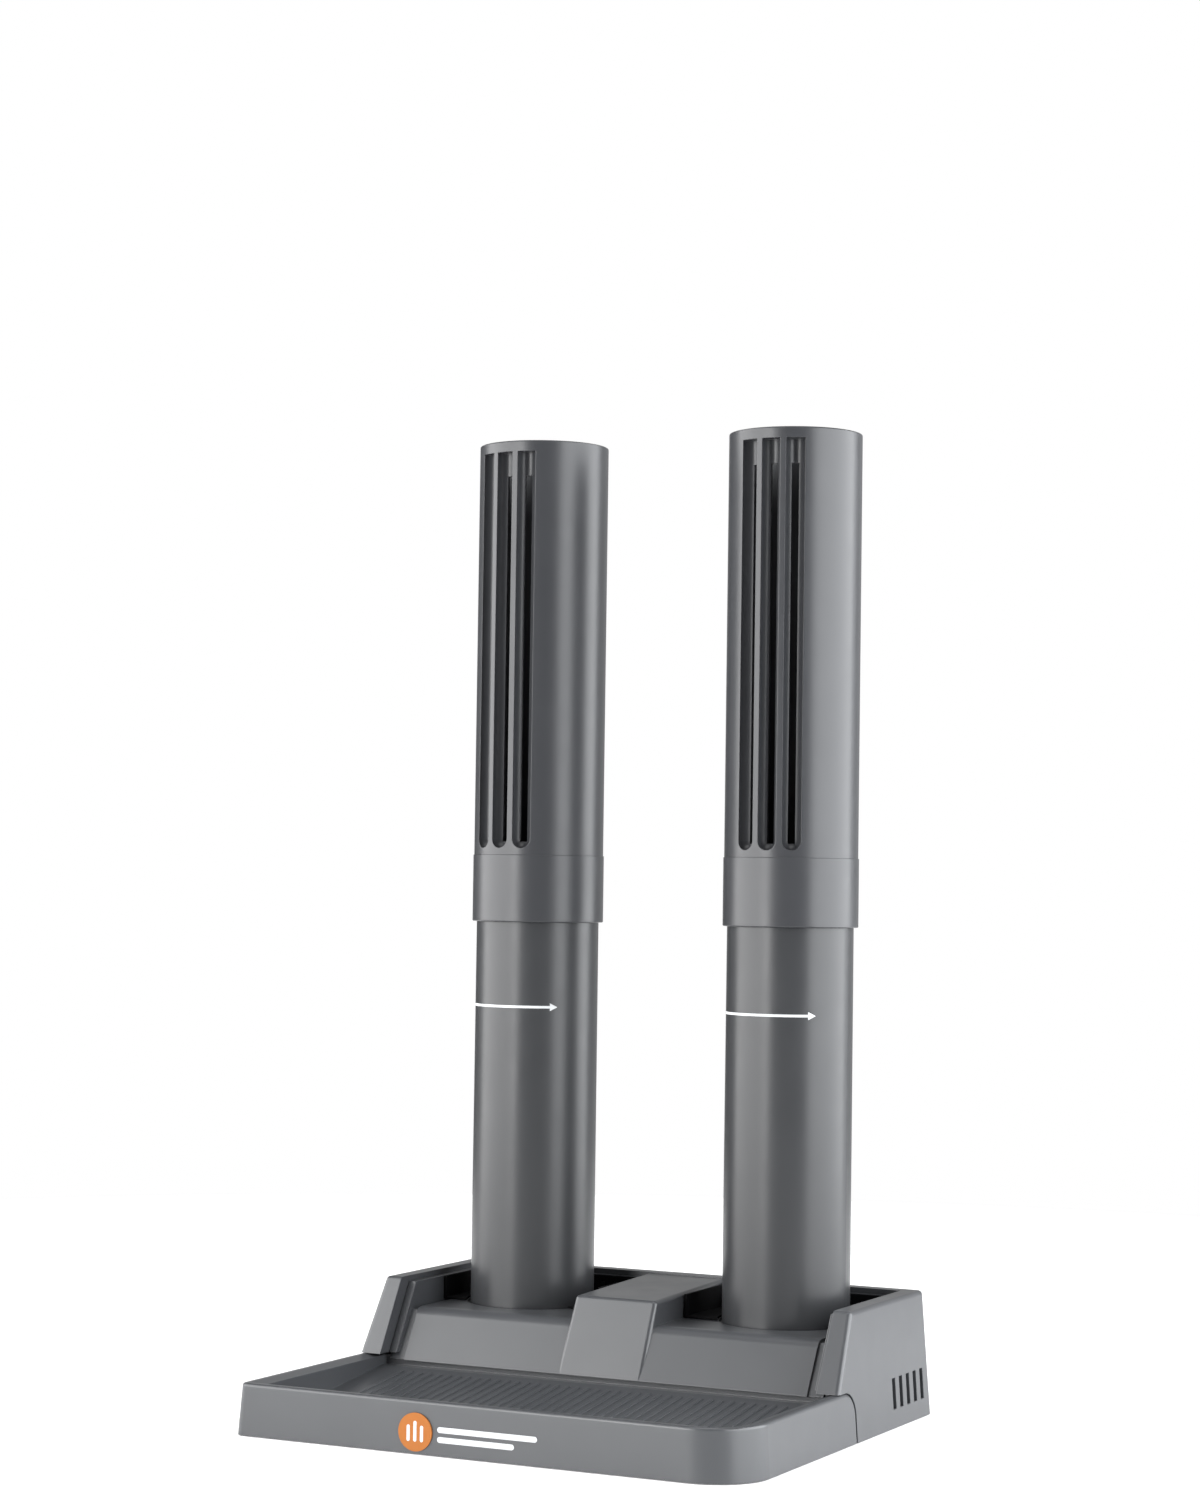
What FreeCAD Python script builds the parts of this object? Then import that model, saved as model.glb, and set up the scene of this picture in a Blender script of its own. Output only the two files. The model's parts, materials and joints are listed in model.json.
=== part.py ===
import FreeCAD, Part
import math
import os

from FreeCAD import Placement, Rotation, Vector

# Two-post convection boot dryer: a low base with a drip tray in front, two air ports
# behind it, and on each port a lower tube with an extension sleeve slipped over its top.
# Millimetres. Origin at the middle of the footprint, on the table; +X right, +Y to the
# back, +Z up.

os.makedirs("parts", exist_ok=True)
doc = FreeCAD.newDocument("boot_dryer")
sheet = doc.addObject("Spreadsheet::Sheet", "Dims")

DIMENSIONS = {
    # envelope of the base
    "half_width": 134.7,
    "half_depth": 118.0,
    "foot_gap": 0.4,
    "rim_height": 25.4,
    "wall_height": 63.0,
    "side_draft": 4.5,
    "end_draft": 1.7,
    "front_corner_right": 28.0,
    "front_corner_left": 4.0,
    "rear_corner": 3.5,
    "skin": 2.4,
    "body_gap": 0.35,
    # drip tray
    "tray_back": 16.4,
    "tray_corner": 12.0,
    "rim_width": 9.0,
    "rim_crest": 3.6,
    "rim_dip": 1.4,
    "tray_wall_lean": 2.0,
    "floor_front": 4.8,
    "floor_back": 19.4,
    "floor_break": 3.0,
    "rib_pitch": 5.6,
    "rib_width": 1.8,
    "rib_height": 0.7,
    # rear housing
    "slope_foot": -3.9,
    "slope_head": 17.1,
    "bay_half_width": 121.0,
    "bay_back": 107.0,
    "vent_first": 67.5,
    "vent_pitch": 9.5,
    "vent_width": 4.4,
    "vent_low": 9.5,
    "vent_high": 24.8,
    # port deck
    "deck_foot": 5.0,
    "deck_foot_height": 22.4,
    "deck_head": 20.0,
    "deck_height": 48.0,
    "deck_half_width": 112.5,
    "deck_wall_inner": 116.6,
    "deck_wall_height": 60.2,
    "hump_top_half": 22.8,
    "hump_foot_half": 23.6,
    "hump_front": 23.5,
    "hump_front_height": 59.8,
    "hump_back_height": 62.3,
    # ports and tubes
    "port_x": 72.7,
    "port_y": 71.5,
    "recess_radius": 34.2,
    "recess_depth": 1.3,
    "tube_radius": 32.5,
    "tube_top_radius": 32.25,
    "tube_wall": 1.9,
    "tube_top": 286.0,
    "neck_radius": 30.0,
    "neck_depth": 12.0,
    "neck_clearance": 0.35,
    "sleeve_radius": 34.6,
    "sleeve_upper_radius": 34.2,
    "sleeve_collar_top": 283.0,
    "sleeve_bore": 32.85,
    "sleeve_foot": 248.0,
    "sleeve_top": 500.0,
    "flute_radius": 4.9,
    "flute_skin": 1.4,
    "flute_centre": 33.1,
    "flute_pitch_deg": 21.5,
    "flute_slot": 3.6,
    # warm-air hardware
    "plate_thick": 2.4,
    "grille_height": 30.6,
    "heater_height": 12.0,
    "cup_radius": 31.0,
    "inlet_height": 24.0,
    "inlet_x": 0.0,
    "inlet_bore": 3.6,
}
for row, (alias, value) in enumerate(DIMENSIONS.items(), start=1):
    sheet.set(f"A{row}", alias)
    sheet.set(f"B{row}", str(value))
    sheet.setAlias(f"B{row}", alias)
doc.recompute()


def dim(alias):
    """Value of a sheet cell, for the few profiles that are built in code."""
    return float(sheet.get(alias))


def e(text):
    """Turn bare aliases in an expression into references to the sheet."""
    out = []
    word = ""
    for ch in text + " ":
        if ch.isalnum() or ch == "_" or (ch == "." and word[:1].isdigit()):
            word += ch
            continue
        out.append(f"Dims.{word}" if word in DIMENSIONS else word)
        word = ""
        out.append(ch)
    return "".join(out).strip()


def bind(obj, **props):
    for prop, text in props.items():
        obj.setExpression(prop.replace("__", "."), e(str(text)))


def place(obj, x="0", y="0", z="0", axis=None, angle=0.0):
    if axis is not None:
        obj.Placement = Placement(Vector(0, 0, 0), Rotation(axis, angle))
    bind(obj, Placement__Base__x=x, Placement__Base__y=y, Placement__Base__z=z)
    return obj


def box(name, x0, x1, y0, y1, z0, z1):
    """Block between two corners, every bound an expression on the sheet."""
    obj = doc.addObject("Part::Box", name)
    bind(obj, Length=f"({x1}) - ({x0})", Width=f"({y1}) - ({y0})", Height=f"({z1}) - ({z0})")
    return place(obj, x0, y0, z0)


AXES = {"z": None, "y": (Vector(1, 0, 0), -90.0), "x": (Vector(0, 1, 0), 90.0)}


def cylinder(name, radius, height, x, y, z, along="z"):
    obj = doc.addObject("Part::Cylinder", name)
    bind(obj, Radius=radius, Height=height)
    turn = AXES[along]
    return place(obj, x, y, z, *(turn or (None, 0.0)))


def cone(name, low_radius, high_radius, height, x, y, z):
    obj = doc.addObject("Part::Cone", name)
    bind(obj, Radius1=low_radius, Radius2=high_radius, Height=height)
    return place(obj, x, y, z)


def frustum(name, low, high, z0, z1):
    """Block whose lower and upper outlines differ; low and high are (x0, x1, y0, y1)."""
    obj = doc.addObject("Part::Wedge", name)
    obj.Placement = Placement(Vector(0, 0, 0), Rotation(Vector(1, 0, 0), 90))
    bind(obj, Ymin=z0, Ymax=z1)
    bind(obj, Xmin=low[0], Xmax=low[1], Zmin=f"-({low[3]})", Zmax=f"-({low[2]})")
    bind(obj, X2min=high[0], X2max=high[1], Z2min=f"-({high[3]})", Z2max=f"-({high[2]})")
    return obj


def prism(name, points, x0, x1):
    """Side profile, a list of (y, z), extruded across the base from x0 to x1."""
    wire = Part.makePolygon([Vector(x0, y, z) for y, z in points + points[:1]])
    obj = doc.addObject("Part::Feature", name)
    obj.Shape = Part.Face(wire).extrude(Vector(x1 - x0, 0, 0))
    return obj


def fuse(name, parts):
    obj = doc.addObject("Part::MultiFuse", name)
    obj.Shapes = parts
    obj.Refine = True
    return obj


def cut(name, base, tools):
    tool = tools[0] if len(tools) == 1 else fuse(name + "_tools", tools)
    obj = doc.addObject("Part::Cut", name)
    obj.Base = base
    obj.Tool = tool
    obj.Refine = True
    return obj


def common(name, parts):
    obj = doc.addObject("Part::MultiCommon", name)
    obj.Shapes = parts
    return obj


def rounded(name, base, radius, pick):
    """Fillet every edge of base that pick(edge) accepts."""
    doc.recompute()
    chosen = [i for i, edge in enumerate(base.Shape.Edges, start=1) if pick(edge)]
    obj = doc.addObject("Part::Fillet", name)
    obj.Base = base
    obj.Edges = [(i, radius, radius) for i in chosen]
    doc.recompute()
    if obj.Shape.isNull() or not obj.Shape.isValid():
        raise RuntimeError(f"{name}: fillet of {radius} mm failed on {len(chosen)} edges")
    return obj


def front_corners(name, base, inset, least=15.0):
    """Round the two upright front edges of base, which sits inset inside the tray outline."""
    def upright(side):
        return lambda s: span(s)[2] > least and s.BoundBox.YMax < -20 and s.BoundBox.XMin * side > 0

    right = rounded(name + "Right", base, dim("front_corner_right") - inset, upright(1))
    left_radius = max(dim("front_corner_left") - inset, 2.5)
    return rounded(name, right, left_radius, upright(-1))


def mirrored(name, source):
    obj = doc.addObject("Part::Mirroring", name)
    obj.Source = source
    obj.Normal = Vector(1, 0, 0)
    return obj


def span(edge):
    b = edge.BoundBox
    return b.XLength, b.YLength, b.ZLength


NODES = {}


def node(label, obj):
    obj.Label = label
    NODES[label] = obj
    return obj


def both_sides(label, obj):
    """The right-hand piece is modelled; the left-hand one is its mirror image."""
    node(label + "_right", obj)
    node(label + "_left", mirrored(label.title().replace("_", "") + "Left", obj))


GAP = dim("body_gap")
SKIN = dim("skin")
WALL_H = dim("wall_height")
RIM_H = dim("rim_height")


def outline(inset, z):
    """Expressions for the drafted outer faces of the base at height z, moved in by inset."""
    half_x = f"half_width - side_draft * ({z}) / wall_height - ({inset})"
    half_y = f"half_depth - end_draft * ({z}) / wall_height - ({inset})"
    return f"-({half_x})", half_x, f"-({half_y})", half_y


def envelope(name, inset, z0, z1):
    return frustum(name, outline(inset, z0), outline(inset, z1), z0, z1)


# ---------------------------------------------------------------- drip tray
low = outline("0", "foot_gap")
high = outline("0", "rim_height")
tray_block = frustum(
    "TrayBlock",
    (low[0], low[1], low[2], "tray_back"),
    (high[0], high[1], high[2], "tray_back"),
    "foot_gap",
    "rim_height",
)
tray_round = front_corners("TrayCorners", tray_block, 0.0)


def rear_corner_cut(name, y, z_top, radius):
    """What is left of a square corner outside a quarter round, across the whole width."""
    square = box(name + "Square", "-150", "150", f"{y} - {radius}", f"{y} + 5",
                 f"{z_top} - {radius}", f"{z_top} + 5")
    roll = cylinder(name + "Roll", radius, "320", "-160", f"{y} - {radius}",
                    f"{z_top} - {radius}", "x")
    return cut(name, square, [roll])


tray_shape = cut(
    "TrayOuter", tray_round, [rear_corner_cut("TrayRearCorner", "tray_back", "rim_height",
                                              "tray_corner")]
)
tray_shape = rounded(
    "TrayRim", tray_shape, 1.6,
    lambda s: s.BoundBox.ZMin > RIM_H - 0.01 and s.BoundBox.YMin < 4.0
    and span(s)[0] < 260 and not (span(s)[0] > 200 and s.BoundBox.YMin > 0)
    or (s.BoundBox.ZMin > RIM_H - 0.01 and s.BoundBox.YMax < -100),
)
inner_low = outline("rim_width + tray_wall_lean", "0")
inner_high = outline("rim_width", "rim_height")
tray_well = frustum(
    "TrayWell",
    (inner_low[0], inner_low[1], inner_low[2], "tray_back - rim_width"),
    (inner_high[0], inner_high[1], inner_high[2], "tray_back - rim_width"),
    "-4",
    "rim_height + 3",
)
tray_well = front_corners("TrayWellCorners", tray_well, dim("rim_width"))
over_rim = 0.6
slope_run = (dim("rim_width") - dim("rim_crest")) * (1.0 + over_rim / dim("rim_dip"))
slope_low = outline("rim_width", "rim_height - rim_dip")
slope_high = outline(f"rim_width - {slope_run}", "rim_height")
rim_slope = frustum(
    "RimSlope",
    (slope_low[0], slope_low[1], slope_low[2], "tray_back + 10"),
    (slope_high[0], slope_high[1], slope_high[2], "tray_back + 10"),
    "rim_height - rim_dip",
    f"rim_height + {over_rim}",
)
rim_slope = front_corners("RimSlopeCorners", rim_slope, dim("rim_crest"), 1.0)
under_top = "rim_height - rim_dip - skin"
under_out = outline("skin", "rim_height")
under_in = outline("rim_width - skin + 0.4", "rim_height")
rim_channel = cut(
    "RimChannel",
    front_corners(
        "RimChannelOuter",
        frustum("RimChannelBlock", (under_out[0], under_out[1], under_out[2], "-6"),
                (under_out[0], under_out[1], under_out[2], "-6"), "-2", under_top),
        SKIN,
    ),
    [front_corners(
        "RimChannelInner",
        frustum("RimChannelCore", (under_in[0], under_in[1], under_in[2], "9"),
                (under_in[0], under_in[1], under_in[2], "9"), "-4", "rim_height"),
        dim("rim_width") - SKIN,
    )],
)
FRONT = -dim("half_depth")
floor_line = [
    (FRONT, dim("floor_front")),
    (dim("floor_break"), dim("floor_back")),
    (dim("tray_back") + 10.0, dim("floor_back")),
]
over_floor = prism("OverFloor", floor_line + [(40.0, 60.0), (FRONT, 60.0)], -140.0, 140.0)
tray_water = common("TrayWater", [tray_well, over_floor])
under_line = [(y, z - SKIN) for y, z in floor_line]
under_floor = prism(
    "UnderFloor",
    [(FRONT + 12.0, -5.0), (FRONT + 12.0, under_line[0][1] + 1.3)] + under_line[1:]
    + [(40.0, -5.0)],
    -140.0, 140.0,
)
tray_under_well = frustum(
    "TrayUnderWell",
    tuple(outline("2 * skin + 5", "0")[:3]) + ("tray_back - skin",),
    tuple(outline("2 * skin + 5", "rim_height")[:3]) + ("tray_back - skin",),
    "-4",
    "rim_height",
)
tray_hollow = common("TrayHollow", [tray_under_well, under_floor])
tray_back_notch = fuse("TrayBackNotch", [
    box("TrayDeckSeat", "-bay_half_width - 0.3", "bay_half_width + 0.3", "deck_foot - 1",
        "tray_back + 2", "deck_foot_height - body_gap", "rim_height + 4"),
    box("TrayDeckRelief", "-bay_half_width + 1", "bay_half_width - 1", "tray_back - 6",
        "tray_back + 2", "deck_foot_height - 1.4", "rim_height + 4"),
])
tray_cut = cut(
    "TrayCut", tray_shape,
    [tray_water, tray_hollow, tray_back_notch, rim_slope, rim_channel],
)
run = dim("floor_break") - FRONT
rise = dim("floor_back") - dim("floor_front")
slope_angle = math.degrees(math.atan2(rise, run))
rib_count = int(2 * 108.0 / dim("rib_pitch"))
ribs = []
for i in range(rib_count + 1):
    x = (i - rib_count / 2.0) * dim("rib_pitch")
    rib = doc.addObject("Part::Box", f"FloorRib{i}")
    bind(rib, Length="rib_width", Height="rib_height + 0.6")
    rib.Width = run - 22.0
    rib.Placement = Placement(
        Vector(x - dim("rib_width") / 2.0, FRONT + 14.0,
               dim("floor_front") + 14.0 * rise / run - 0.6),
        Rotation(Vector(1, 0, 0), slope_angle),
    )
    ribs.append(rib)
node("drip_tray", fuse("DripTray", [tray_cut] + ribs))

tray_pads = []
for sx in (-1, 1):
    for sy, y in ((0, "-half_depth + 14"), (1, "tray_back - 8")):
        pad_name = f"TrayPad{(sx + 1) // 2}{sy}"
        reach = "half_width - 34" if sy == 0 else "half_width - 7"
        pad_radius = "4.0" if sy == 0 else "2.6"
        tray_pads.append(cylinder(pad_name, pad_radius, "foot_gap", f"{sx} * ({reach})", y, "0"))
node("tray_feet", fuse("TrayFeet", tray_pads))

# ------------------------------------------------------------ rear housing
SLOPE_FOOT = dim("slope_foot")
SLOPE_HEAD = dim("slope_head")
SEAM_Y = dim("tray_back") + GAP
SEAM_Z = RIM_H + GAP
BACK = dim("half_depth") + 1.0
lean = (SLOPE_HEAD - SLOPE_FOOT) / (WALL_H - RIM_H)
housing_side = prism(
    "HousingSide",
    [(SEAM_Y, 0.0), (SEAM_Y, SEAM_Z), (SLOPE_FOOT, SEAM_Z), (SLOPE_HEAD, WALL_H + 0.01),
     (BACK, WALL_H + 0.01), (BACK, 0.0)],
    -140.0, 140.0,
)
toe_fill = cut(
    "ToeFill",
    box("ToeBlock", "-150", "150", "tray_back - tray_corner + body_gap",
        "tray_back + body_gap + 0.5", "rim_height - tray_corner + body_gap",
        "rim_height + body_gap + 0.5"),
    [cylinder("ToeRoll", "tray_corner + body_gap", "320", "-160", "tray_back - tray_corner",
              "rim_height - tray_corner", "x")],
)
housing_block = common(
    "HousingBlock",
    [envelope("HousingEnvelope", "0", "foot_gap", "wall_height"),
     fuse("HousingProfile", [housing_side, toe_fill])],
)
housing_round = rounded(
    "HousingRear", housing_block, dim("rear_corner"),
    lambda s: span(s)[2] > 50 and s.BoundBox.YMin > 100,
)
top_z = WALL_H - 0.01
housing_round = rounded(
    "HousingTopEdge", housing_round, 2.2,
    lambda s: s.BoundBox.ZMin > top_z - 0.05
    or (span(s)[2] > 30 and span(s)[1] > 15 and s.BoundBox.YMax < 30),
)
inner_side = prism(
    "HousingInnerSide",
    [(SEAM_Y + SKIN, -1.0), (SEAM_Y + SKIN, SEAM_Z + SKIN),
     (SLOPE_FOOT + SKIN * lean + 3.0, SEAM_Z + SKIN),
     (SLOPE_HEAD + 2.2, WALL_H - SKIN), (BACK, WALL_H - SKIN), (BACK, -1.0)],
    -140.0, 140.0,
)
housing_void = cut(
    "HousingVoid",
    common("HousingSpace", [envelope("HousingInner", "skin", "0", "wall_height"), inner_side]),
    [box("HousingInnerSkin", "-bay_half_width - 2", "bay_half_width + 2", "-20",
         "bay_back + 2", "rim_height + 1", "wall_height")],
)
bay = box("Bay", "-bay_half_width", "bay_half_width", "-40", "bay_back", "-2", "wall_height + 9")
VENT_COUNT = 5
housing_cuts = [housing_void, bay]
for i in range(VENT_COUNT):
    for sx in (-1, 1):
        slot_name = f"Vent{i}_{(sx + 1) // 2}"
        housing_cuts.append(
            box(slot_name, f"{sx} * 130 - 8", f"{sx} * 130 + 8",
                f"vent_first + {i} * vent_pitch - vent_width / 2",
                f"vent_first + {i} * vent_pitch + vent_width / 2", "vent_low", "vent_high")
        )
housing_cuts.append(
    cylinder("InletHole", "inlet_bore + 2.2", "20", "inlet_x", "half_depth - 12",
             "inlet_height", "y")
)
node("rear_housing", cut("RearHousing", housing_round, housing_cuts))

# --------------------------------------------------------------- port deck
FOOT_Y = dim("deck_foot")
FOOT_Z = dim("deck_foot_height")
HEAD_Y = dim("deck_head")
DECK_Z = dim("deck_height")
DECK_BACK = dim("bay_back") - GAP
DECK_HALF = dim("deck_half_width")
SIDE_OUT = dim("bay_half_width") - GAP
SIDE_IN = dim("deck_wall_inner")
WALL_Z = dim("deck_wall_height")
WEB_DROP = 1.6


def deck_profile(drop, back):
    """Side profile of the platform; drop lowers the top and thickens the front slope."""
    run_in = drop * 1.15
    return [(FOOT_Y + run_in, FOOT_Z - (0.0 if drop == 0 else 3.0)),
            (HEAD_Y + run_in * 0.75, DECK_Z - drop),
            (back, DECK_Z - drop), (back, FOOT_Z - (0.0 if drop == 0 else 3.0))]


platform = prism("Platform", deck_profile(0.0, DECK_BACK), -DECK_HALF, DECK_HALF)
platform = rounded(
    "PlatformEdge", platform, 7.0,
    lambda s: span(s)[0] > 200 and abs(s.BoundBox.YMin - HEAD_Y) < 0.1
    and s.BoundBox.ZMin > DECK_Z - 0.1,
)
side_web = prism(
    "SideWeb",
    [(FOOT_Y + 1.2, FOOT_Z), (HEAD_Y + 0.8, DECK_Z - WEB_DROP),
     (DECK_BACK, DECK_Z - WEB_DROP), (DECK_BACK, FOOT_Z)],
    -SIDE_OUT, SIDE_OUT,
)
wall_profile = [
    (SLOPE_FOOT + 9.0, SEAM_Z), (SLOPE_HEAD + 7.5, WALL_Z), (DECK_BACK, WALL_Z),
    (DECK_BACK, SEAM_Z),
]
side_walls = [
    prism("SideWallRight", wall_profile, SIDE_IN, SIDE_OUT),
    prism("SideWallLeft", wall_profile, -SIDE_OUT, -SIDE_IN),
]
back_wall = box("DeckBackWall", "-bay_half_width + body_gap", "bay_half_width - body_gap",
                "bay_back - body_gap - 1.8", "bay_back - body_gap", "deck_foot_height",
                "deck_wall_height")
hump_block = frustum(
    "HumpBlock",
    ("-hump_foot_half", "hump_foot_half", "deck_foot - 1", "bay_back - body_gap"),
    ("-hump_top_half", "hump_top_half", "deck_foot - 1", "bay_back - body_gap"),
    "deck_foot_height",
    "wall_height",
)
HUMP_Y = dim("hump_front")
HUMP_Z = dim("hump_front_height")
HUMP_BACK = dim("hump_back_height")
hump_side = prism(
    "HumpSide",
    [(FOOT_Y, FOOT_Z), (HUMP_Y, HUMP_Z), (DECK_BACK, HUMP_BACK), (DECK_BACK, FOOT_Z)],
    -60.0, 60.0,
)
hump = common("Hump", [hump_block, hump_side])
hump = rounded(
    "HumpEdges", hump, 2.2,
    lambda s: s.BoundBox.ZMin > HUMP_Z - 0.5 and s.BoundBox.YMin < DECK_BACK - 1
    or (span(s)[2] > 30 and s.BoundBox.YMax < 30),
)
apron = box("DeckApron", "-deck_wall_inner", "deck_wall_inner", "tray_back + body_gap + 1.2",
            "tray_back + body_gap + 3.6", "foot_gap + plate_thick + 0.2", "30")
deck_solid = fuse("DeckSolid", [platform, side_web, *side_walls, back_wall, hump, apron])

DECK_SKIN = 2.6
under_platform = prism(
    "UnderPlatform", deck_profile(DECK_SKIN, DECK_BACK - 3.0),
    -DECK_HALF + DECK_SKIN, DECK_HALF - DECK_SKIN,
)
under_apron = box(
    "UnderApron", "-deck_half_width + 2.6", "deck_half_width - 2.6",
    "tray_back + body_gap + 3.6", "bay_back - body_gap - 3", "-2", "deck_height - 12",
)
hump_core_block = frustum(
    "HumpCoreBlock",
    ("-hump_foot_half + 2.6", "hump_foot_half - 2.6", "deck_foot - 1",
     "bay_back - body_gap - 3"),
    ("-hump_top_half + 2.6", "hump_top_half - 2.6", "deck_foot - 1",
     "bay_back - body_gap - 3"),
    "deck_foot_height",
    "wall_height",
)
hump_core_side = prism(
    "HumpCoreSide",
    [(FOOT_Y + 4.0, FOOT_Z), (HUMP_Y + 2.2, HUMP_Z - DECK_SKIN),
     (DECK_BACK - 3.0, HUMP_BACK - DECK_SKIN), (DECK_BACK - 3.0, FOOT_Z)],
    -60.0, 60.0,
)
hump_core = common("HumpCore", [hump_core_block, hump_core_side])
deck_cuts = [under_platform, under_apron, hump_core]
deck_adds = []
PORTS = (("Right", 1), ("Left", -1))
for side, sx in PORTS:
    px = f"{sx} * port_x"
    deck_cuts.append(cylinder(f"PortRecess{side}", "recess_radius", "9", px, "port_y",
                              "deck_height - recess_depth"))
    deck_cuts.append(cylinder(f"PortHole{side}", "neck_radius + neck_clearance", "60", px,
                              "port_y", "-1"))
    collar = cut(
        f"PortCollar{side}",
        cylinder(f"CollarOuter{side}", "neck_radius + neck_clearance + 2.2", "15.5", px,
                 "port_y", "deck_height - recess_depth - 15.8"),
        [cylinder(f"CollarInner{side}", "neck_radius + neck_clearance", "20", px, "port_y",
                  "deck_height - recess_depth - 17")],
    )
    deck_adds.append(collar)
deck_hollowed = cut("DeckHollowed", deck_solid, deck_cuts)
SCREW_SPOTS = [(sx * x, y) for sx in (-1, 1) for x, y in ((106.0, 28.0), (26.0, 100.0))]
for i, (x, y) in enumerate(SCREW_SPOTS):
    post_top = "deck_height - 1.5" if abs(x) > 50 else "deck_height - 0.5"
    deck_adds.append(
        cut(f"DeckPost{i}",
            cylinder(f"DeckPostOuter{i}", "4", f"{post_top} - foot_gap - plate_thick - 0.2",
                     f"{x}", f"{y}", "foot_gap + plate_thick + 0.2"),
            [cylinder(f"DeckPostBore{i}", "1.6", "14", f"{x}", f"{y}", "foot_gap")])
    )
node("port_deck", fuse("PortDeck", [deck_hollowed, *deck_adds]))

# ------------------------------------------- black liners round each port
liner_block = cut(
    "LinerBlock",
    box("LinerOuter", "hump_foot_half + 0.3", "deck_wall_inner - 0.3", "54",
        "bay_back - body_gap - 3.3", "deck_height + 0.2", "deck_wall_height"),
    [box("LinerInner", "hump_foot_half + 1.7", "deck_wall_inner - 1.7", "50",
         "bay_back - body_gap - 4.9", "deck_height + 1.2", "deck_wall_height + 5")],
)
liner_cuts = [
    cylinder("LinerPort", "recess_radius + 0.4", "20", "port_x", "port_y", "deck_height - 5"),
]
for i in range(9):
    liner_cuts.append(
        box(f"LinerSlot{i}", f"port_x - 34 + {i} * 8 - 1.6", f"port_x - 34 + {i} * 8 + 1.6",
            "bay_back - body_gap - 9", "bay_back", "deck_height + 4", "deck_wall_height - 3")
    )
both_sides("port_liner", cut("PortLinerRight", liner_block, liner_cuts))

# ------------------------------------------------------------------- tubes
tube_outer = fuse(
    "TubeOuter",
    [cone("TubeWallOuter", "tube_radius", "tube_top_radius",
          "tube_top - deck_height + recess_depth - 0.05", "port_x", "port_y",
          "deck_height - recess_depth + 0.05"),
     cylinder("TubeNeckOuter", "neck_radius", "neck_depth + 4", "port_x", "port_y",
              "deck_height - recess_depth - neck_depth")],
)
tube_bore = fuse(
    "TubeBore",
    [cylinder("TubeNeckBore", "neck_radius - tube_wall", "neck_depth + 10", "port_x",
              "port_y", "deck_height - recess_depth - neck_depth - 1"),
     cylinder("TubeMainBore", "tube_top_radius - tube_wall", "tube_top", "port_x", "port_y",
              "deck_height - recess_depth + 3.5")],
)
tube = cut("TubeCut", tube_outer, [tube_bore])
TUBE_TOP = dim("tube_top")
tube = rounded(
    "TubeRim", tube, 0.7,
    lambda s: s.BoundBox.ZMin > TUBE_TOP - 0.1 and span(s)[0] > 20,
)
both_sides("lower_tube", tube)


def sleeve(name, middle_deg):
    """Extension sleeve on the right port; its three vent flutes face middle_deg."""
    ring = cut(
        name + "Ring",
        fuse(name + "Outer", [
            cylinder(name + "Upper", "sleeve_upper_radius", "sleeve_top - sleeve_foot - 4",
                     "port_x", "port_y", "sleeve_foot + 4"),
            cylinder(name + "Collar", "sleeve_radius", "sleeve_collar_top - sleeve_foot",
                     "port_x", "port_y", "sleeve_foot"),
        ]),
        [cylinder(name + "Bore", "sleeve_bore", "sleeve_top", "port_x", "port_y",
                  "sleeve_foot - 1")],
    )
    ring = rounded(
        name + "Edges", ring, 0.6,
        lambda s: span(s)[0] > 60 and span(s)[2] < 0.01
        and not 250.0 < s.BoundBox.ZMin < 490.0,
    )
    core = cylinder(name + "Core", "sleeve_upper_radius - 0.4", "sleeve_top", "port_x", "port_y", "0")
    gutters = []
    grooves = []
    for i in (-1, 0, 1):
        bearing = math.radians(middle_deg + i * dim("flute_pitch_deg"))
        east = math.sin(bearing)
        south = -math.cos(bearing)
        x = f"port_x + flute_centre * {east:.6f}"
        y = f"port_y + flute_centre * {south:.6f}"
        tag = f"{name}Flute{i + 1}"
        gutters.append(
            cylinder(tag + "Skin", "flute_radius + flute_skin", "sleeve_top - tube_top - 4.05",
                     x, y, "tube_top + 0.05")
        )
        grooves.append(cylinder(tag + "Groove", "flute_radius",
                                "sleeve_top - tube_top - 4.05 - 5.2 - 1.6", x, y,
                                "tube_top + 5.2"))
        scoop = doc.addObject("Part::Sphere", tag + "Scoop")
        bind(scoop, Radius="flute_radius")
        place(scoop, x, y, "tube_top + 5.2 + 0.2")
        grooves.append(scoop)
        slot = doc.addObject("Part::Box", tag + "Slot")
        bind(slot, Length="flute_slot", Width="12", Height="sleeve_top - tube_top - 22")
        half = dim("flute_slot") / 2.0
        slot.Placement = Placement(
            Vector(dim("port_x") + (dim("flute_centre") + 3.0) * east - half * math.cos(bearing),
                   dim("port_y") + (dim("flute_centre") + 3.0) * south - half * math.sin(bearing),
                   dim("tube_top") + 4.0),
            Rotation(Vector(0, 0, 1), math.degrees(bearing)),
        )
        grooves.append(slot)
    gutter = common(name + "Gutters", [fuse(name + "Skins", gutters), core])
    return cut(name + "Sleeve", fuse(name + "Body", [ring, gutter]), grooves)


RIGHT_FLUTES_DEG = 1.5
LEFT_FLUTES_DEG = 10.0
node("extension_tube_right", sleeve("Right", RIGHT_FLUTES_DEG))
node("extension_tube_left", mirrored("LeftExtension", sleeve("Left", LEFT_FLUTES_DEG)))

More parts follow.
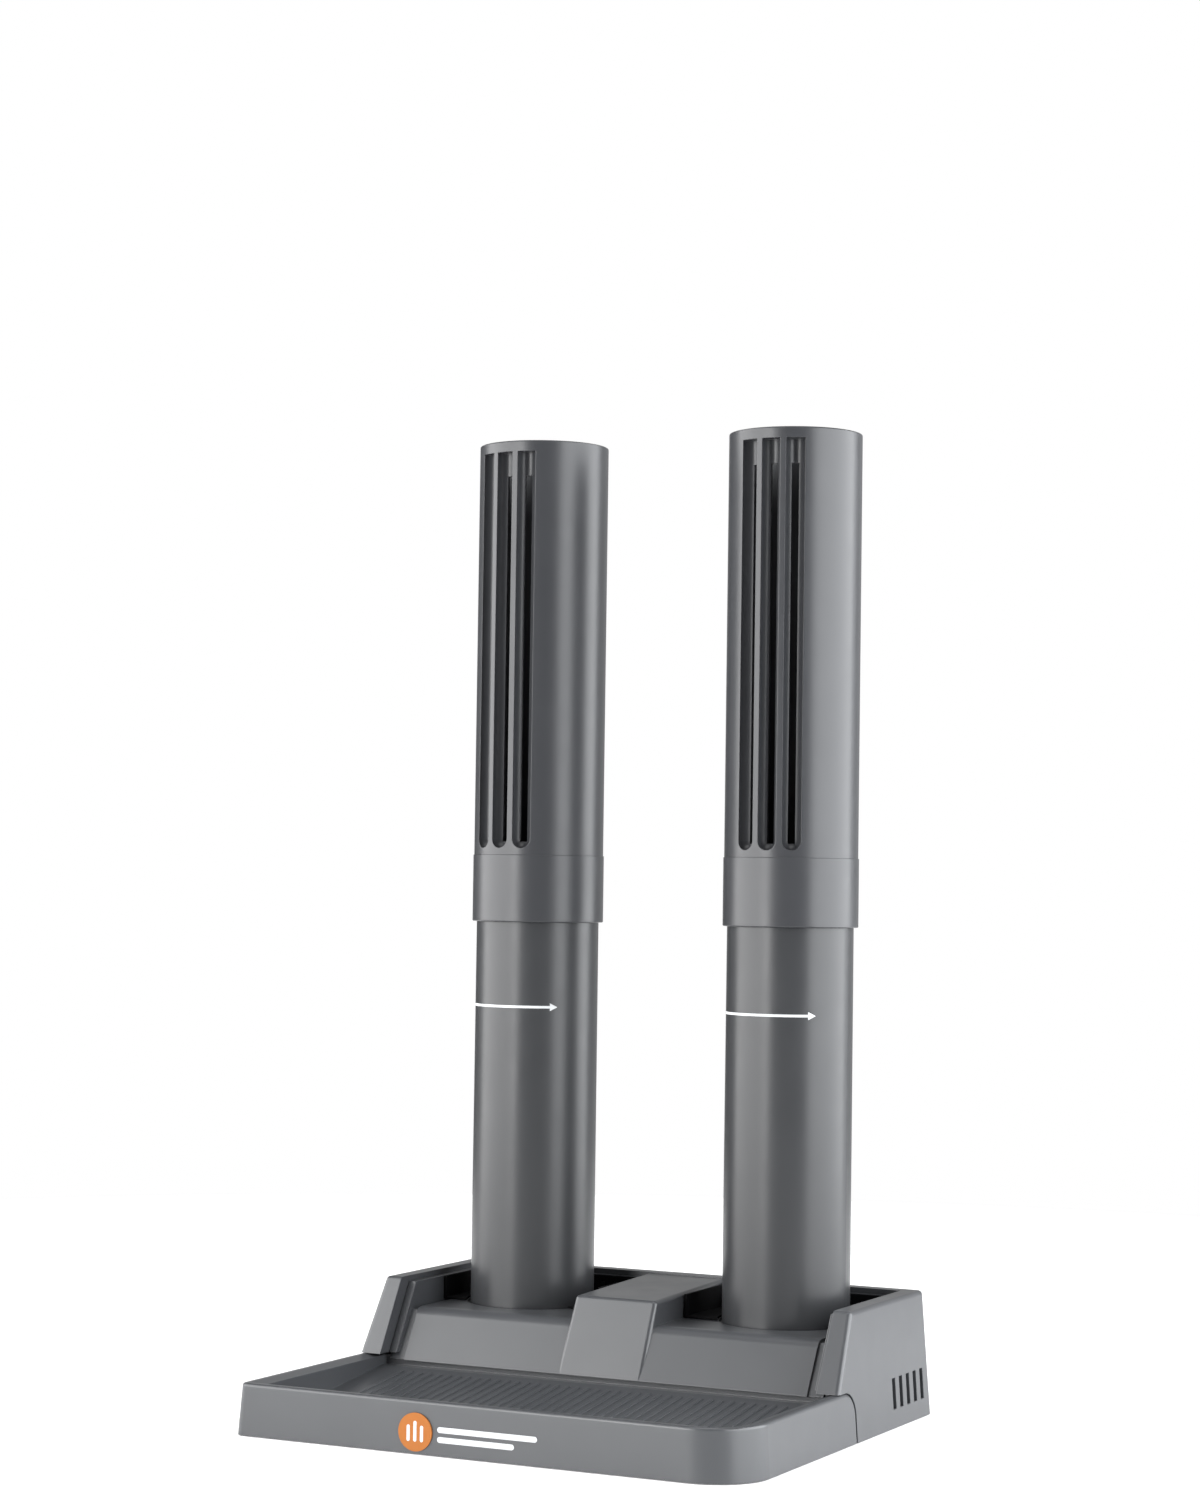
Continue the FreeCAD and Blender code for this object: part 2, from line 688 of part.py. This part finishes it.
# --------------------------------------------------- base plate and fixings
plate_cuts = []
for side, sx in PORTS:
    for i in range(5):
        plate_cuts.append(
            box(f"Intake{side}{i}", f"{sx} * port_x - 22", f"{sx} * port_x + 22",
                f"port_y - 18 + {i} * 9 - 1.8", f"port_y - 18 + {i} * 9 + 1.8", "-1", "8")
        )
for i, (x, y) in enumerate(SCREW_SPOTS):
    plate_cuts.append(cylinder(f"PlateHole{i}", "1.9", "10", f"{x}", f"{y}", "-1"))
    plate_cuts.append(cylinder(f"PlateSink{i}", "3.3", "foot_gap + 1 + 1", f"{x}", f"{y}", "-1"))
plate = box("PlateBlock", "-half_width + skin + 1.2", "half_width - skin - 1.2",
            "tray_back + body_gap + skin + 1.4", "half_depth - skin - 0.7", "foot_gap",
            "foot_gap + plate_thick")
node("base_plate", cut("BasePlate", plate, plate_cuts))

base_pads = []
for i, (x, y) in enumerate(((118.0, 34.0), (118.0, 104.0), (-118.0, 34.0), (-118.0, 104.0))):
    base_pads.append(cylinder(f"BasePad{i}", "7", "foot_gap", f"{x}", f"{y}", "0"))
node("base_feet", fuse("BaseFeet", base_pads))


def pan_screw(name, x, y, z_head, length, along=1):
    """Pan-head screw under the plate: head below z_head, shank upwards."""
    shank = cylinder(name + "Shank", "1.5", f"{length}", f"{x}", f"{y}", z_head)
    head = cylinder(name + "Head", "2.9", "0.8", f"{x}", f"{y}", f"{z_head} - 0.8")
    return fuse(name, [shank, head])


node("base_screws", fuse("BaseScrews", [
    pan_screw(f"BaseScrew{i}", x, y, "foot_gap + 1", 10.5) for i, (x, y) in enumerate(SCREW_SPOTS)
]))

# ------------------------------------------------------ warm-air hardware
PLATE_TOP = "foot_gap + plate_thick"
cup_wall = cut(
    "CupBody",
    cylinder("CupOuter", "cup_radius", "heater_height + 6", "port_x", "port_y",
             PLATE_TOP + " + 1"),
    [cylinder("CupInner", "cup_radius - 0.8", "40", "port_x", "port_y", PLATE_TOP + " + 1.8"),
     cylinder("CupInlet", "20", "6", "port_x", "port_y", PLATE_TOP)],
)
cup_lugs = [
    box(f"CupLug{i}", f"port_x + ({sx}) * 34 - 5", f"port_x + ({sx}) * 34 + 5", "port_y - 5",
        "port_y + 5", PLATE_TOP, PLATE_TOP + " + 1.0")
    for i, sx in enumerate((-1, 1))
]
lug_links = [
    box(f"CupLink{i}", f"port_x + ({sx}) * 30 - 1.6", f"port_x + ({sx}) * 30 + 1.6",
        "port_y - 5", "port_y + 5", PLATE_TOP + " + 0.0", PLATE_TOP + " + 1.8")
    for i, sx in enumerate((-1, 1))
]
cup = fuse("HeaterCupRight", [cup_wall, *cup_lugs, *lug_links])
cup = cut("HeaterCupDrilled", cup, [
    cylinder(f"CupHole{i}", "1.6", "10", f"port_x + ({sx}) * 36.4", "port_y", PLATE_TOP + " - 2")
    for i, sx in enumerate((-1, 1))
])
both_sides("heater_cup", cup)

fins = []
for i in range(7):
    fins.append(
        cut(f"Fin{i}",
            cylinder(f"FinDisc{i}", "24", "0.6", "port_x", "port_y",
                     PLATE_TOP + f" + 4 + {i} * 2"),
            [cylinder(f"FinEye{i}", "5.4", "5", "port_x", "port_y",
                      PLATE_TOP + f" + 2 + {i} * 2")])
    )
fin_tube = cut(
    "FinTube",
    cylinder("FinTubeOuter", "6.2", "14.6", "port_x", "port_y", PLATE_TOP + " + 3"),
    [cylinder("FinTubeInner", "5.0", "30", "port_x", "port_y", PLATE_TOP)],
)
both_sides("heater_fins", fuse("HeaterFinsRight", [*fins, fin_tube]))
core_rod = cylinder("CoreRod", "4.7", "17.4", "port_x", "port_y", PLATE_TOP + " + 2.4")
core_bar = box("CoreBar", "port_x - 29.9", "port_x + 29.9", "port_y - 3", "port_y + 3",
               PLATE_TOP + " + 1.9", PLATE_TOP + " + 2.9")
both_sides("heater_core", fuse("HeaterCoreRight", [core_rod, core_bar]))

grille_ring = cut(
    "GrilleRing",
    cylinder("GrilleOuter", "neck_radius + 2.4", "1.6", "port_x", "port_y",
             "grille_height - 1.6"),
    [cylinder("GrilleInner", "neck_radius - 4", "6", "port_x", "port_y",
              "grille_height - 3")],
)
grille_bars = [
    box(f"GrilleBar{i}", f"port_x - 29", "port_x + 29", f"port_y - 18 + {i} * 9 - 0.9",
        f"port_y - 18 + {i} * 9 + 0.9", "grille_height - 1.6", "grille_height")
    for i in range(5)
]
grille_disc = cylinder("GrilleDisc", "neck_radius - 2", "1.6", "port_x", "port_y",
                       "grille_height - 1.6")
bars = common("GrilleBars", [fuse("GrilleBarSet", grille_bars), grille_disc])
both_sides("port_grille", fuse("PortGrilleRight", [grille_ring, bars]))

node("cup_screws", fuse("CupScrews", [
    fuse(f"CupScrew{side}{i}", [
        cylinder(f"CupShank{side}{i}", "1.4", "3.2", f"{sx} * port_x + ({lx}) * 36.4", "port_y",
                 PLATE_TOP + " - 2.2"),
        cylinder(f"CupHead{side}{i}", "2.6", "1.6", f"{sx} * port_x + ({lx}) * 36.4", "port_y",
                 PLATE_TOP + " + 1.0"),
    ])
    for side, sx in PORTS for i, lx in enumerate((-1, 1))
]))
fuse_body = cylinder("CutoutBody", "4.5", "7", "port_x - 45", "port_y - 6", PLATE_TOP + " + 4.7",
                     "y")
fuse_foot = box("CutoutFoot", "port_x - 49", "port_x - 41", "port_y - 7", "port_y + 2",
                PLATE_TOP, PLATE_TOP + " + 1.4")
both_sides("thermal_cutout", fuse("ThermalCutoutRight", [fuse_body, fuse_foot]))

terminal_base = box("TerminalBase", "-13", "13", "84", "98", PLATE_TOP, PLATE_TOP + " + 10")
terminal_cuts = [
    cylinder(f"TerminalEye{i}", "2.1", "30", f"({i} - 1) * 8", "80", PLATE_TOP + " + 5", "y")
    for i in range(3)
]
node("terminal_block", cut("TerminalBlock", terminal_base, terminal_cuts))


def wire(name, points, radius):
    """Insulated lead: straight runs with ball bends between the given points."""
    pieces = []
    for i, (a, b) in enumerate(zip(points, points[1:])):
        run_vec = b - a
        pieces.append(Part.makeCylinder(radius, run_vec.Length, a, run_vec))
        if i:
            pieces.append(Part.makeSphere(radius, a))
    obj = doc.addObject("Part::Feature", name)
    obj.Shape = pieces[0].multiFuse(pieces[1:]).removeSplitter()
    return obj


lead_z = dim("foot_gap") + dim("plate_thick") + 5.0
leads = []
for side, sx in PORTS:
    lead_x = sx * (dim("port_x") - 45.0)
    lead_y = dim("port_y")
    leads.append(wire(f"Lead{side}", [
        Vector(sx * 8.0, 86.0, lead_z), Vector(sx * 8.0, 78.0, lead_z),
        Vector(lead_x - sx * 6.5, 66.0, lead_z + 6.0), Vector(lead_x - sx * 6.5, 56.0, lead_z + 6.0),
        Vector(lead_x + sx * 6.0, 50.0, lead_z + 1.0), Vector(lead_x + sx * 10.0, 50.0, lead_z + 1.0),
    ], 1.3))
for side, lead in zip(("right", "left"), leads):
    node(f"lead_{side}", lead)

bush = fuse("BushBody", [
    cylinder("BushFlange", "inlet_bore + 4.4", "2.4", "inlet_x", "half_depth - 0.7",
             "inlet_height", "y"),
    cylinder("BushNeck", "inlet_bore + 1.9", "5.6", "inlet_x", "half_depth - 6.0",
             "inlet_height", "y"),
])
bush = cut("InletBush", bush, [
    cylinder("BushBore", "inlet_bore", "30", "inlet_x", "half_depth - 15", "inlet_height", "y"),
])
node("inlet_bushing", bush)

# ------------------------------------------------------------ front badge
badge = cylinder("Badge", "9.0", "0.8", "-34.5", "-half_depth - 0.5", "10.6", "y")
node("front_badge", badge)

# ---------------------------------------------------------------- export
doc.recompute()
for obj in doc.Objects:
    if "Invalid" in obj.State or "Error" in obj.State:
        raise RuntimeError(f"{obj.Name}: {obj.State}")
for label, obj in sorted(NODES.items()):
    shape = obj.Shape
    if shape.isNull() or not shape.isValid():
        raise RuntimeError(f"{label}: bad shape")
    print(label, len(shape.Solids), round(shape.Volume, 1))
    shape.exportStep(f"parts/{label}.step")
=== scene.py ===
import json
import math

import bmesh
import bpy
from mathutils import Matrix, Vector


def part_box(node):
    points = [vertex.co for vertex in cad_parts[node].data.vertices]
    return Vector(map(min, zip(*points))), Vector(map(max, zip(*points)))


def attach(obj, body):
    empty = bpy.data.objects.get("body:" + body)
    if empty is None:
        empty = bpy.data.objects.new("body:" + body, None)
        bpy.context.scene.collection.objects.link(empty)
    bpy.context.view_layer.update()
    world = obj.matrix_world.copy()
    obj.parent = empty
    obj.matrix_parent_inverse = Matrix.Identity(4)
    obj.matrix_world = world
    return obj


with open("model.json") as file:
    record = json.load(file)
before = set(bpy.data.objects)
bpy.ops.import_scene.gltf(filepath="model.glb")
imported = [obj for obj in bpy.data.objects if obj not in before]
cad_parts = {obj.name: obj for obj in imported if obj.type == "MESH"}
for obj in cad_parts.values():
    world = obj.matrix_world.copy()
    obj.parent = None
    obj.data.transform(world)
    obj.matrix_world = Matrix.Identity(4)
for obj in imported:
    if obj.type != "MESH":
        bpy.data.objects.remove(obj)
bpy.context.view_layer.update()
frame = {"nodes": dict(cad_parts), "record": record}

MM = 0.001
scene = bpy.context.scene
nodes = frame["nodes"]


# ------------------------------------------------------------- materials
class Shader:
    """A procedural material built round one Principled shader."""

    def __init__(self, name, color, roughness, **sockets):
        self.mat = bpy.data.materials.new(name)
        self.mat.use_nodes = True
        self.tree = self.mat.node_tree
        self.bsdf = self.tree.nodes["Principled BSDF"]
        self.coords = self.tree.nodes.new("ShaderNodeTexCoord")
        self.color = color
        self.bsdf.inputs["Base Color"].default_value = (*color, 1.0)
        self.bsdf.inputs["Roughness"].default_value = roughness
        for socket, value in sockets.items():
            self.bsdf.inputs[socket.replace("_", " ")].default_value = value
        self.normal = None

    def node(self, kind, **settings):
        made = self.tree.nodes.new(kind)
        for key, value in settings.items():
            setattr(made, key, value)
        return made

    def link(self, out, into):
        self.tree.links.new(out, into)

    def noise(self, scale, detail=3.0, stretch=(1.0, 1.0, 1.0)):
        """Noise with about scale features per metre, from object coordinates."""
        mapping = self.node("ShaderNodeMapping")
        mapping.inputs["Scale"].default_value = stretch
        texture = self.node("ShaderNodeTexNoise")
        texture.inputs["Scale"].default_value = scale
        texture.inputs["Detail"].default_value = detail
        self.link(self.coords.outputs["Object"], mapping.inputs["Vector"])
        self.link(mapping.outputs["Vector"], texture.inputs["Vector"])
        return texture.outputs["Fac"]

    def ramp(self, value, low, high, start=0.35, end=0.65):
        spread = self.node("ShaderNodeMapRange", clamp=True)
        spread.inputs["From Min"].default_value = start
        spread.inputs["From Max"].default_value = end
        spread.inputs["To Min"].default_value = low
        spread.inputs["To Max"].default_value = high
        self.link(value, spread.inputs["Value"])
        return spread.outputs["Result"]

    def bump(self, height, distance):
        bump = self.node("ShaderNodeBump")
        bump.inputs["Distance"].default_value = distance
        bump.inputs["Strength"].default_value = 1.0
        self.link(height, bump.inputs["Height"])
        if self.normal is not None:
            self.link(self.normal, bump.inputs["Normal"])
        self.normal = bump.outputs["Normal"]
        self.link(self.normal, self.bsdf.inputs["Normal"])

    def soften_edges(self, radius):
        """Rounds hard edges a little, as a moulding or pressing has them."""
        bevel = self.node("ShaderNodeBevel", samples=6)
        bevel.inputs["Radius"].default_value = radius
        self.normal = bevel.outputs["Normal"]
        self.link(self.normal, self.bsdf.inputs["Normal"])

    def vary_roughness(self, scale, low, high):
        self.link(self.ramp(self.noise(scale), low, high), self.bsdf.inputs["Roughness"])

    def vary_color(self, scale, amount, edge_light=0.0):
        """Mottle the colour by amount, and lighten rubbed edges by edge_light."""
        shade = self.ramp(self.noise(scale, 4.0), 1.0 - amount, 1.0 + amount)
        if edge_light:
            rub = self.ramp(self.edge_mask(), 0.0, edge_light, 0.02, 0.25)
            plus = self.node("ShaderNodeMath", operation="ADD")
            self.link(shade, plus.inputs[0])
            self.link(rub, plus.inputs[1])
            shade = plus.outputs["Value"]
        scaled = self.node("ShaderNodeVectorMath", operation="SCALE")
        scaled.inputs[0].default_value = self.color
        self.link(shade, scaled.inputs["Scale"])
        self.link(scaled.outputs["Vector"], self.bsdf.inputs["Base Color"])

    def edge_mask(self):
        """Near 1 along convex edges, 0 on flats: how far the rounded normal leans away."""
        bevel = self.node("ShaderNodeBevel", samples=6)
        bevel.inputs["Radius"].default_value = 0.9 * MM
        geometry = self.node("ShaderNodeNewGeometry")
        dot = self.node("ShaderNodeVectorMath", operation="DOT_PRODUCT")
        self.link(bevel.outputs["Normal"], dot.inputs[0])
        self.link(geometry.outputs["Normal"], dot.inputs[1])
        flip = self.node("ShaderNodeMath", operation="SUBTRACT")
        flip.inputs[0].default_value = 1.0
        self.link(dot.outputs["Value"], flip.inputs[1])
        return flip.outputs["Value"]


def moulded(name, color, roughness, grain, edge_light=0.25, specular=0.5):
    """Injection-moulded plastic with a fine spark-eroded grain."""
    m = Shader(name, color, roughness)
    m.bsdf.inputs["Specular IOR Level"].default_value = specular
    m.soften_edges(0.5 * MM)
    m.bump(m.noise(2600.0, 2.0), grain * MM)
    m.vary_color(38.0, 0.02, edge_light)
    m.vary_roughness(60.0, roughness - 0.015, roughness + 0.015)
    return m.mat


def metal(name, color, roughness, stretch):
    m = Shader(name, color, roughness, Metallic=1.0)
    m.soften_edges(0.2 * MM)
    m.bump(m.noise(900.0, 2.0, stretch), 0.02 * MM)
    m.vary_color(50.0, 0.06, 0.1)
    m.vary_roughness(140.0, roughness - 0.08, roughness + 0.08)
    return m.mat


def painted(name, color):
    """Pad-printed ink, a little mottled and with a fine tooth."""
    m = Shader(name, color, 0.5)
    m.bsdf.inputs["Specular IOR Level"].default_value = 0.15
    m.bump(m.noise(3000.0, 2.0), 0.004 * MM)
    m.vary_color(400.0, 0.02)
    m.vary_roughness(300.0, 0.45, 0.55)
    return m.mat


GREY_BASE = (0.046, 0.048, 0.052)
GREY_TUBE = (0.028, 0.029, 0.031)
GREY_SLEEVE = (0.031, 0.032, 0.035)

# moulded: colour, roughness, grain depth in mm, lighter edges, specular level
# metal: colour, roughness, how the brushing is stretched along x, y and z
MATERIALS = {
    "tray_plastic": moulded("tray_grey", GREY_BASE, 0.32, 0.006),
    "housing_plastic": moulded("housing_grey", GREY_BASE, 0.32, 0.006),
    "deck_plastic": moulded("deck_grey", GREY_BASE, 0.32, 0.006),
    "tube_plastic": moulded("tube_grey", GREY_TUBE, 0.32, 0.004, 0.0, 0.38),
    "sleeve_plastic": moulded("sleeve_grey", GREY_SLEEVE, 0.32, 0.004, 0.0, 0.40),
    "black_plastic": moulded("liner_black", (0.003, 0.003, 0.0035), 0.85, 0.02, 0.002, 0.08),
    "plate_plastic": moulded("plate_dark", (0.05, 0.05, 0.053), 0.55, 0.02),
    "foot_rubber": moulded("foot_rubber", (0.02, 0.02, 0.02), 0.8, 0.03, 0.02),
    "zinc_steel": metal("zinc_steel", (0.62, 0.62, 0.60), 0.35, (1.0, 1.0, 1.0)),
    "reflector": metal("reflector_sheet", (0.80, 0.80, 0.82), 0.28, (1.0, 1.0, 14.0)),
    "fin_aluminium": metal("fin_aluminium", (0.72, 0.72, 0.74), 0.35, (9.0, 1.0, 1.0)),
    "ceramic": moulded("heater_former", (0.72, 0.69, 0.62), 0.6, 0.01),
    "wire_insulation": moulded("lead_silicone", (0.42, 0.03, 0.02), 0.45, 0.005),
    "badge": painted("badge_orange", (0.31, 0.105, 0.022)),
    "terminal": moulded("terminal_nylon", (0.62, 0.61, 0.57), 0.45, 0.006),
}
WHITE_INK = painted("white_ink", (0.50, 0.51, 0.52))

slot_of = {s["node"]: s["material_slot"] for s in frame["record"]["subparts"]}
for name, obj in nodes.items():
    obj.data.materials.clear()
    obj.data.materials.append(MATERIALS[slot_of[name]])


# ------------------------------------------------------- printed details
INK = 0.10 * MM            # half the depth of the fill line, and the depth of the bars
MARK_HEIGHT = 169.3 * MM   # fill line above the foot of the lower tube
MARK_SINK = 0.15 * MM      # the tube tapers by about this much up to the line
MARK_START, MARK_NECK, MARK_TIP = -75.0, 40.0, 47.0   # bearings round the tube, degrees
MARK_HALF_BAND, MARK_HALF_ARROW = 0.65 * MM, 2.0 * MM
BAND_STEPS, ARROW_STEPS = 60, 8


def printed(name, front, back, body):
    """Thin closed layer of ink between two strips; each is a list of (low, high) pairs."""
    verts = [Vector(v) for pair in front + back for v in pair]
    count = len(front)
    faces = []
    for i in range(count - 1):
        a, c = 2 * i, 2 * (i + count)
        faces.append((a, a + 2, a + 3, a + 1))
        faces.append((c, c + 1, c + 3, c + 2))
        faces.append((a, c, c + 2, a + 2))
        faces.append((a + 1, a + 3, c + 3, c + 1))
    last, end = 2 * (count - 1), 2 * (2 * count - 1)
    faces.append((0, 1, 2 * count + 1, 2 * count))
    faces.append((last, end, end + 1, last + 1))
    mesh = bpy.data.meshes.new(name)
    mesh.from_pydata(verts, [], faces)
    bm = bmesh.new()
    bm.from_mesh(mesh)
    bmesh.ops.recalc_face_normals(bm, faces=bm.faces)
    bm.to_mesh(mesh)
    bm.free()
    mesh.materials.append(WHITE_INK)
    obj = bpy.data.objects.new(name, mesh)
    scene.collection.objects.link(obj)
    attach(obj, body)


def tube_mark(side):
    """White fill line on a lower tube: a band round the front that ends in an arrow."""
    low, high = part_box(f"lower_tube_{side}")
    axis_x = (low[0] + high[0]) / 2
    axis_y = (low[1] + high[1]) / 2
    skin = (high[0] - low[0]) / 2 - MARK_SINK
    height = low[2] + MARK_HEIGHT
    profile = [(MARK_START + (MARK_NECK - MARK_START) * i / BAND_STEPS, MARK_HALF_BAND)
               for i in range(BAND_STEPS + 1)]
    profile += [(MARK_NECK + (MARK_TIP - MARK_NECK) * (i + 0.02) / ARROW_STEPS,
                 MARK_HALF_ARROW * (1.01 - i / ARROW_STEPS))
                for i in range(ARROW_STEPS + 1)]

    def strip(radius):
        pairs = []
        for bearing, half in profile:
            x = axis_x + radius * math.sin(math.radians(bearing))
            y = axis_y - radius * math.cos(math.radians(bearing))
            pairs.append(((x, y, height - half), (x, y, height + half)))
        return pairs

    printed(f"fill_line_{side}", strip(skin + INK), strip(skin - INK), f"tube_{side}")


for side in ("left", "right"):
    tube_mark(side)


def bar(name, foot, head, half, y, steps=8):
    """Straight printed stroke with round ends on the front face, from foot to head (x, z)."""
    foot, head = Vector(foot), Vector(head)
    along = (head - foot).normalized()
    across = Vector((-along.y, along.x))
    turns = [math.pi / 2 * i / steps for i in range(steps + 1)]
    spots = [(foot - along * half * math.cos(t), half * max(math.sin(t), 0.02)) for t in turns]
    spots += [(head + along * half * math.sin(t), half * max(math.cos(t), 0.02)) for t in turns]

    def strip(depth):
        return [tuple((v.x, depth, v.y) for v in (p - across * w, p + across * w))
                for p, w in spots]

    printed(name, strip(y), strip(y + INK), "tray")


badge_low, badge_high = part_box("front_badge")
badge_x = (badge_low[0] + badge_high[0]) / 2
badge_z = (badge_low[2] + badge_high[2]) / 2

HEAT_BAR_PITCH = 3.6 * MM
HEAT_BAR_FOOT = 3.6 * MM
HEAT_BAR_HEADS = (2.4, 4.4, 2.4)   # mm above the middle of the badge
ink_y = badge_low[1] - 0.04 * MM
for i, rise in enumerate(HEAT_BAR_HEADS):
    bar_x = badge_x + (i - 1) * HEAT_BAR_PITCH
    bar(f"heat_bar_{i + 1}", (bar_x, badge_z - HEAT_BAR_FOOT), (bar_x, badge_z + rise * MM),
        0.85 * MM, ink_y)

PRINT_BARS = ((50.0, 2.0), (38.0, -2.6))   # length and height from the badge's middle, mm
face_y = badge_high[1] - 0.22 * MM
bar_start = badge_high[0] + 4.0 * MM
for i, (length, rise) in enumerate(PRINT_BARS):
    z = badge_z + rise * MM
    bar(f"print_bar_{i + 1}", (bar_start, z), (bar_start + length * MM, z), 1.35 * MM, face_y)


# ------------------------------------------------------------------ stage
FLOOR_RADIUS = 1.15
FLOOR_DROP = 0.1 * MM   # clear of the rubber feet


def stage_floor():
    """Pale round table top, wide enough for the light to reach its edge."""
    bm = bmesh.new()
    bmesh.ops.create_circle(bm, cap_ends=True, radius=FLOOR_RADIUS, segments=128)
    mesh = bpy.data.meshes.new("floor")
    bm.to_mesh(mesh)
    bm.free()
    floor = bpy.data.objects.new("floor", mesh)
    floor.location.z = -FLOOR_DROP
    scene.collection.objects.link(floor)
    paint = Shader("floor_white", (0.80, 0.80, 0.80), 0.9)
    paint.bsdf.inputs["Emission Color"].default_value = (1.0, 1.0, 1.0, 1.0)
    paint.bsdf.inputs["Emission Strength"].default_value = 0.25
    mesh.materials.append(paint.mat)


stage_floor()

TARGET = Vector((0.0, 0.0, 0.16))   # where the lights aim, a third of the way up


def softbox(name, bearing, elevation, distance, width, height, power, color):
    """Rectangular area light aimed at the object; bearing 0 is the front, 90 the right."""
    light = bpy.data.lights.new(name, "AREA")
    light.shape = "RECTANGLE"
    light.size = width
    light.size_y = height
    light.energy = power
    light.color = color
    obj = bpy.data.objects.new(name, light)
    scene.collection.objects.link(obj)
    b, e = math.radians(bearing), math.radians(elevation)
    away = Vector((math.sin(b) * math.cos(e), -math.cos(b) * math.cos(e), math.sin(e)))
    obj.location = TARGET + away * distance
    obj.rotation_mode = "QUATERNION"
    obj.rotation_quaternion = away.to_track_quat("Z", "Y")


# name, bearing, elevation, distance, width, height, power, colour
SOFTBOXES = (
    ("key_left", -58.0, 14.0, 1.6, 2.3, 1.8, 80.0, (1, 1, 1)),
    ("front_left", -17.0, 4.0, 1.6, 0.30, 1.2, 15.0, (1, 1, 1)),
    ("key_right", 101.0, 14.0, 1.6, 2.9, 1.8, 120.0, (0.96, 0.98, 1.0)),
    ("back_glow", 188.0, 12.0, 2.4, 3.2, 2.0, 9.0, (1, 1, 1)),
    ("overhead", 20.0, 80.0, 2.2, 1.6, 1.6, 22.0, (1, 1, 1)),
)
for settings in SOFTBOXES:
    softbox(*settings)

WHITE = (1.0, 1.0, 1.0, 1.0)
AMBIENT = 0.06    # fill light on the object
BACKDROP = 1.0    # what the camera sees behind it

world = bpy.data.worlds.new("studio")
scene.world = world
world.use_nodes = True
tree = world.node_tree
ambient = tree.nodes["Background"]
backdrop = tree.nodes.new("ShaderNodeBackground")
for shader, strength in ((ambient, AMBIENT), (backdrop, BACKDROP)):
    shader.inputs["Color"].default_value = WHITE
    shader.inputs["Strength"].default_value = strength
path = tree.nodes.new("ShaderNodeLightPath")
mix = tree.nodes.new("ShaderNodeMixShader")
tree.links.new(path.outputs["Is Camera Ray"], mix.inputs["Fac"])
tree.links.new(ambient.outputs["Background"], mix.inputs[1])
tree.links.new(backdrop.outputs["Background"], mix.inputs[2])
tree.links.new(mix.outputs["Shader"], tree.nodes["World Output"].inputs["Surface"])

scene.view_settings.view_transform = "Standard"
scene.view_settings.look = "None"

# ----------------------------------------------------------------- camera
CAMERA_PLACE = Vector((0.7162, -1.4383, 0.2717))
CAMERA_YAW = math.radians(26.52)
CAMERA_PITCH = math.radians(2.28)
CAMERA_ROLL = math.radians(0.80)
CAMERA_LENS = 76.96

camera = bpy.data.cameras.new("camera")
camera.lens = CAMERA_LENS
camera.sensor_width = 36.0
camera.clip_start = 0.05
camera_object = bpy.data.objects.new("camera", camera)
scene.collection.objects.link(camera_object)
turn = (Matrix.Rotation(CAMERA_YAW, 4, "Z")
        @ Matrix.Rotation(math.pi / 2 + CAMERA_PITCH, 4, "X")
        @ Matrix.Rotation(CAMERA_ROLL, 4, "Z"))
camera_object.matrix_world = Matrix.Translation(CAMERA_PLACE) @ turn
scene.camera = camera_object
